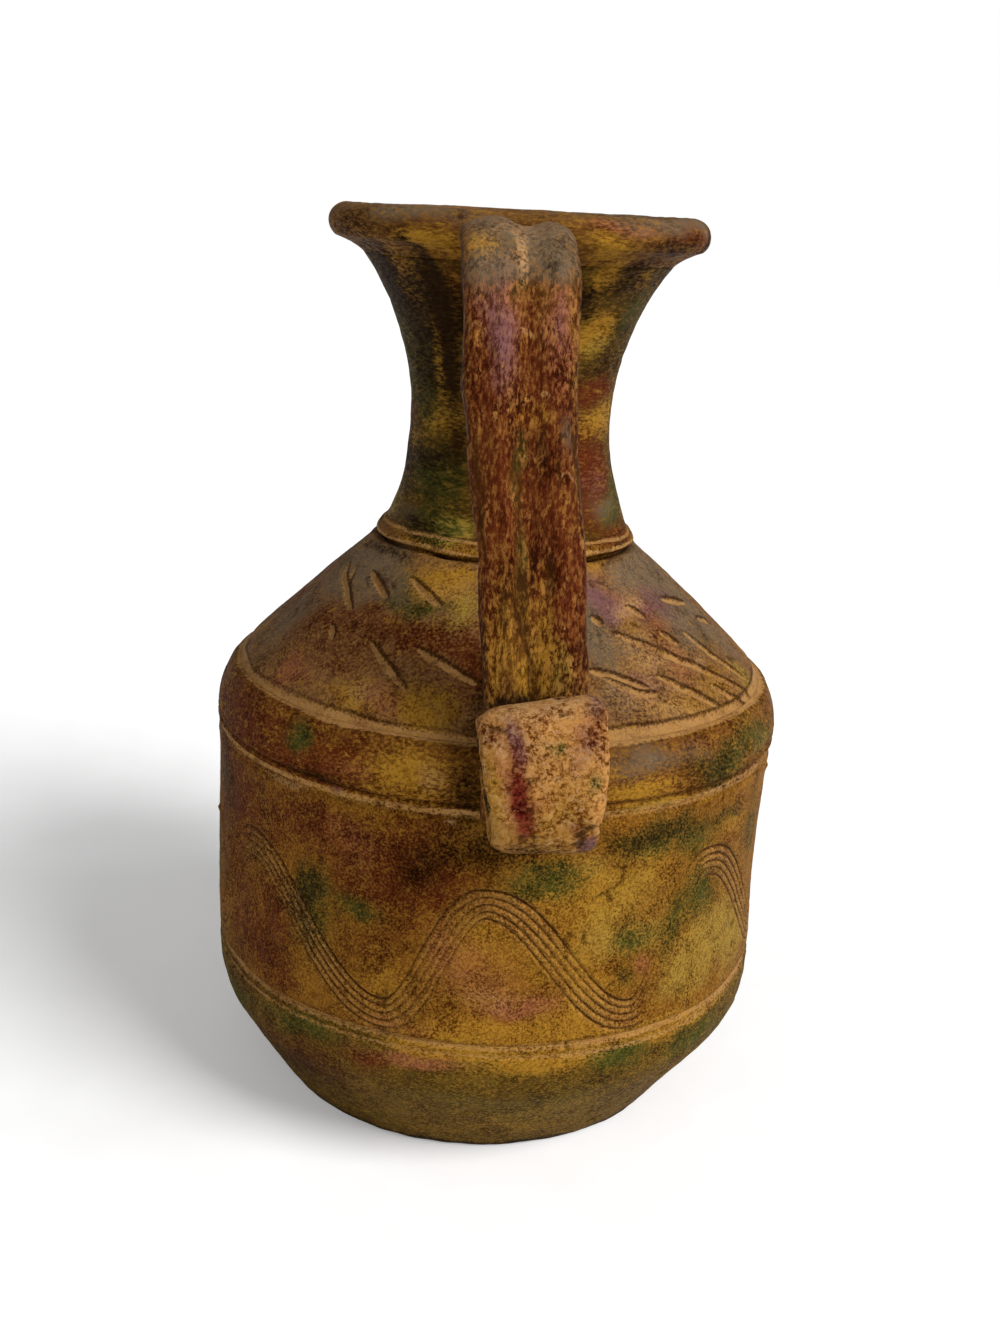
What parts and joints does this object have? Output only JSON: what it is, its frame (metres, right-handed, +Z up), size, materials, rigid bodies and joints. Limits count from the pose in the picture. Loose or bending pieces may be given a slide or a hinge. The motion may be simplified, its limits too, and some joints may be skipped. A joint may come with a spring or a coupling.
{
  "type": "two-handled vase",
  "caption": "Hand-built earthenware vase: straight-sided belly, sloping shoulder, flared neck and upright strap handles from rim to shoulder that end in rolled scrolls.",
  "frame": {"origin": "centre of the flat underside of the base disc, on the surface that the vase stands on", "axes": "+Z up along the vase's turning axis; the handles stand on -Y (front) and +Y (back); X is across them"},
  "size_m": [0.1676, 0.2382, 0.26],
  "materials": {
    "lower_slip": "waxed olive and ochre slip over fired clay",
    "belly_slip": "waxed gold-ochre slip, rubbed, with combed waves",
    "band_slip": "waxed oxblood and olive slip, rubbed",
    "shoulder_slip": "waxed umber and olive slip with cut strokes",
    "neck_slip": "waxed dark olive slip over ochre",
    "rim_slip": "waxed brown-grey slip",
    "strap_slip": "waxed oxblood slip with ochre streaks",
    "scroll_slip": "sandy ochre slip, speckled",
    "bare_clay": "bare fired clay"
  },
  "bodies": {
    "root": {"base_disc": "lower_slip", "lower_wall": "lower_slip", "belly_wall": "belly_slip", "shoulder_band": "band_slip", "shoulder_wall": "shoulder_slip", "neck_ring": "neck_slip", "neck_wall": "neck_slip", "rim_coil": "rim_slip", "base_seam_coil": "bare_clay", "belly_seam_coil": "bare_clay", "shoulder_seam_coil": "bare_clay", "handle_strap_front": "strap_slip", "handle_strap_back": "strap_slip", "handle_scroll_front": "scroll_slip", "handle_scroll_back": "scroll_slip", "handle_root_wad_front": "strap_slip", "handle_root_wad_back": "strap_slip", "handle_foot_wad_front": "strap_slip", "handle_foot_wad_back": "strap_slip"}
  },
  "joints": []
}
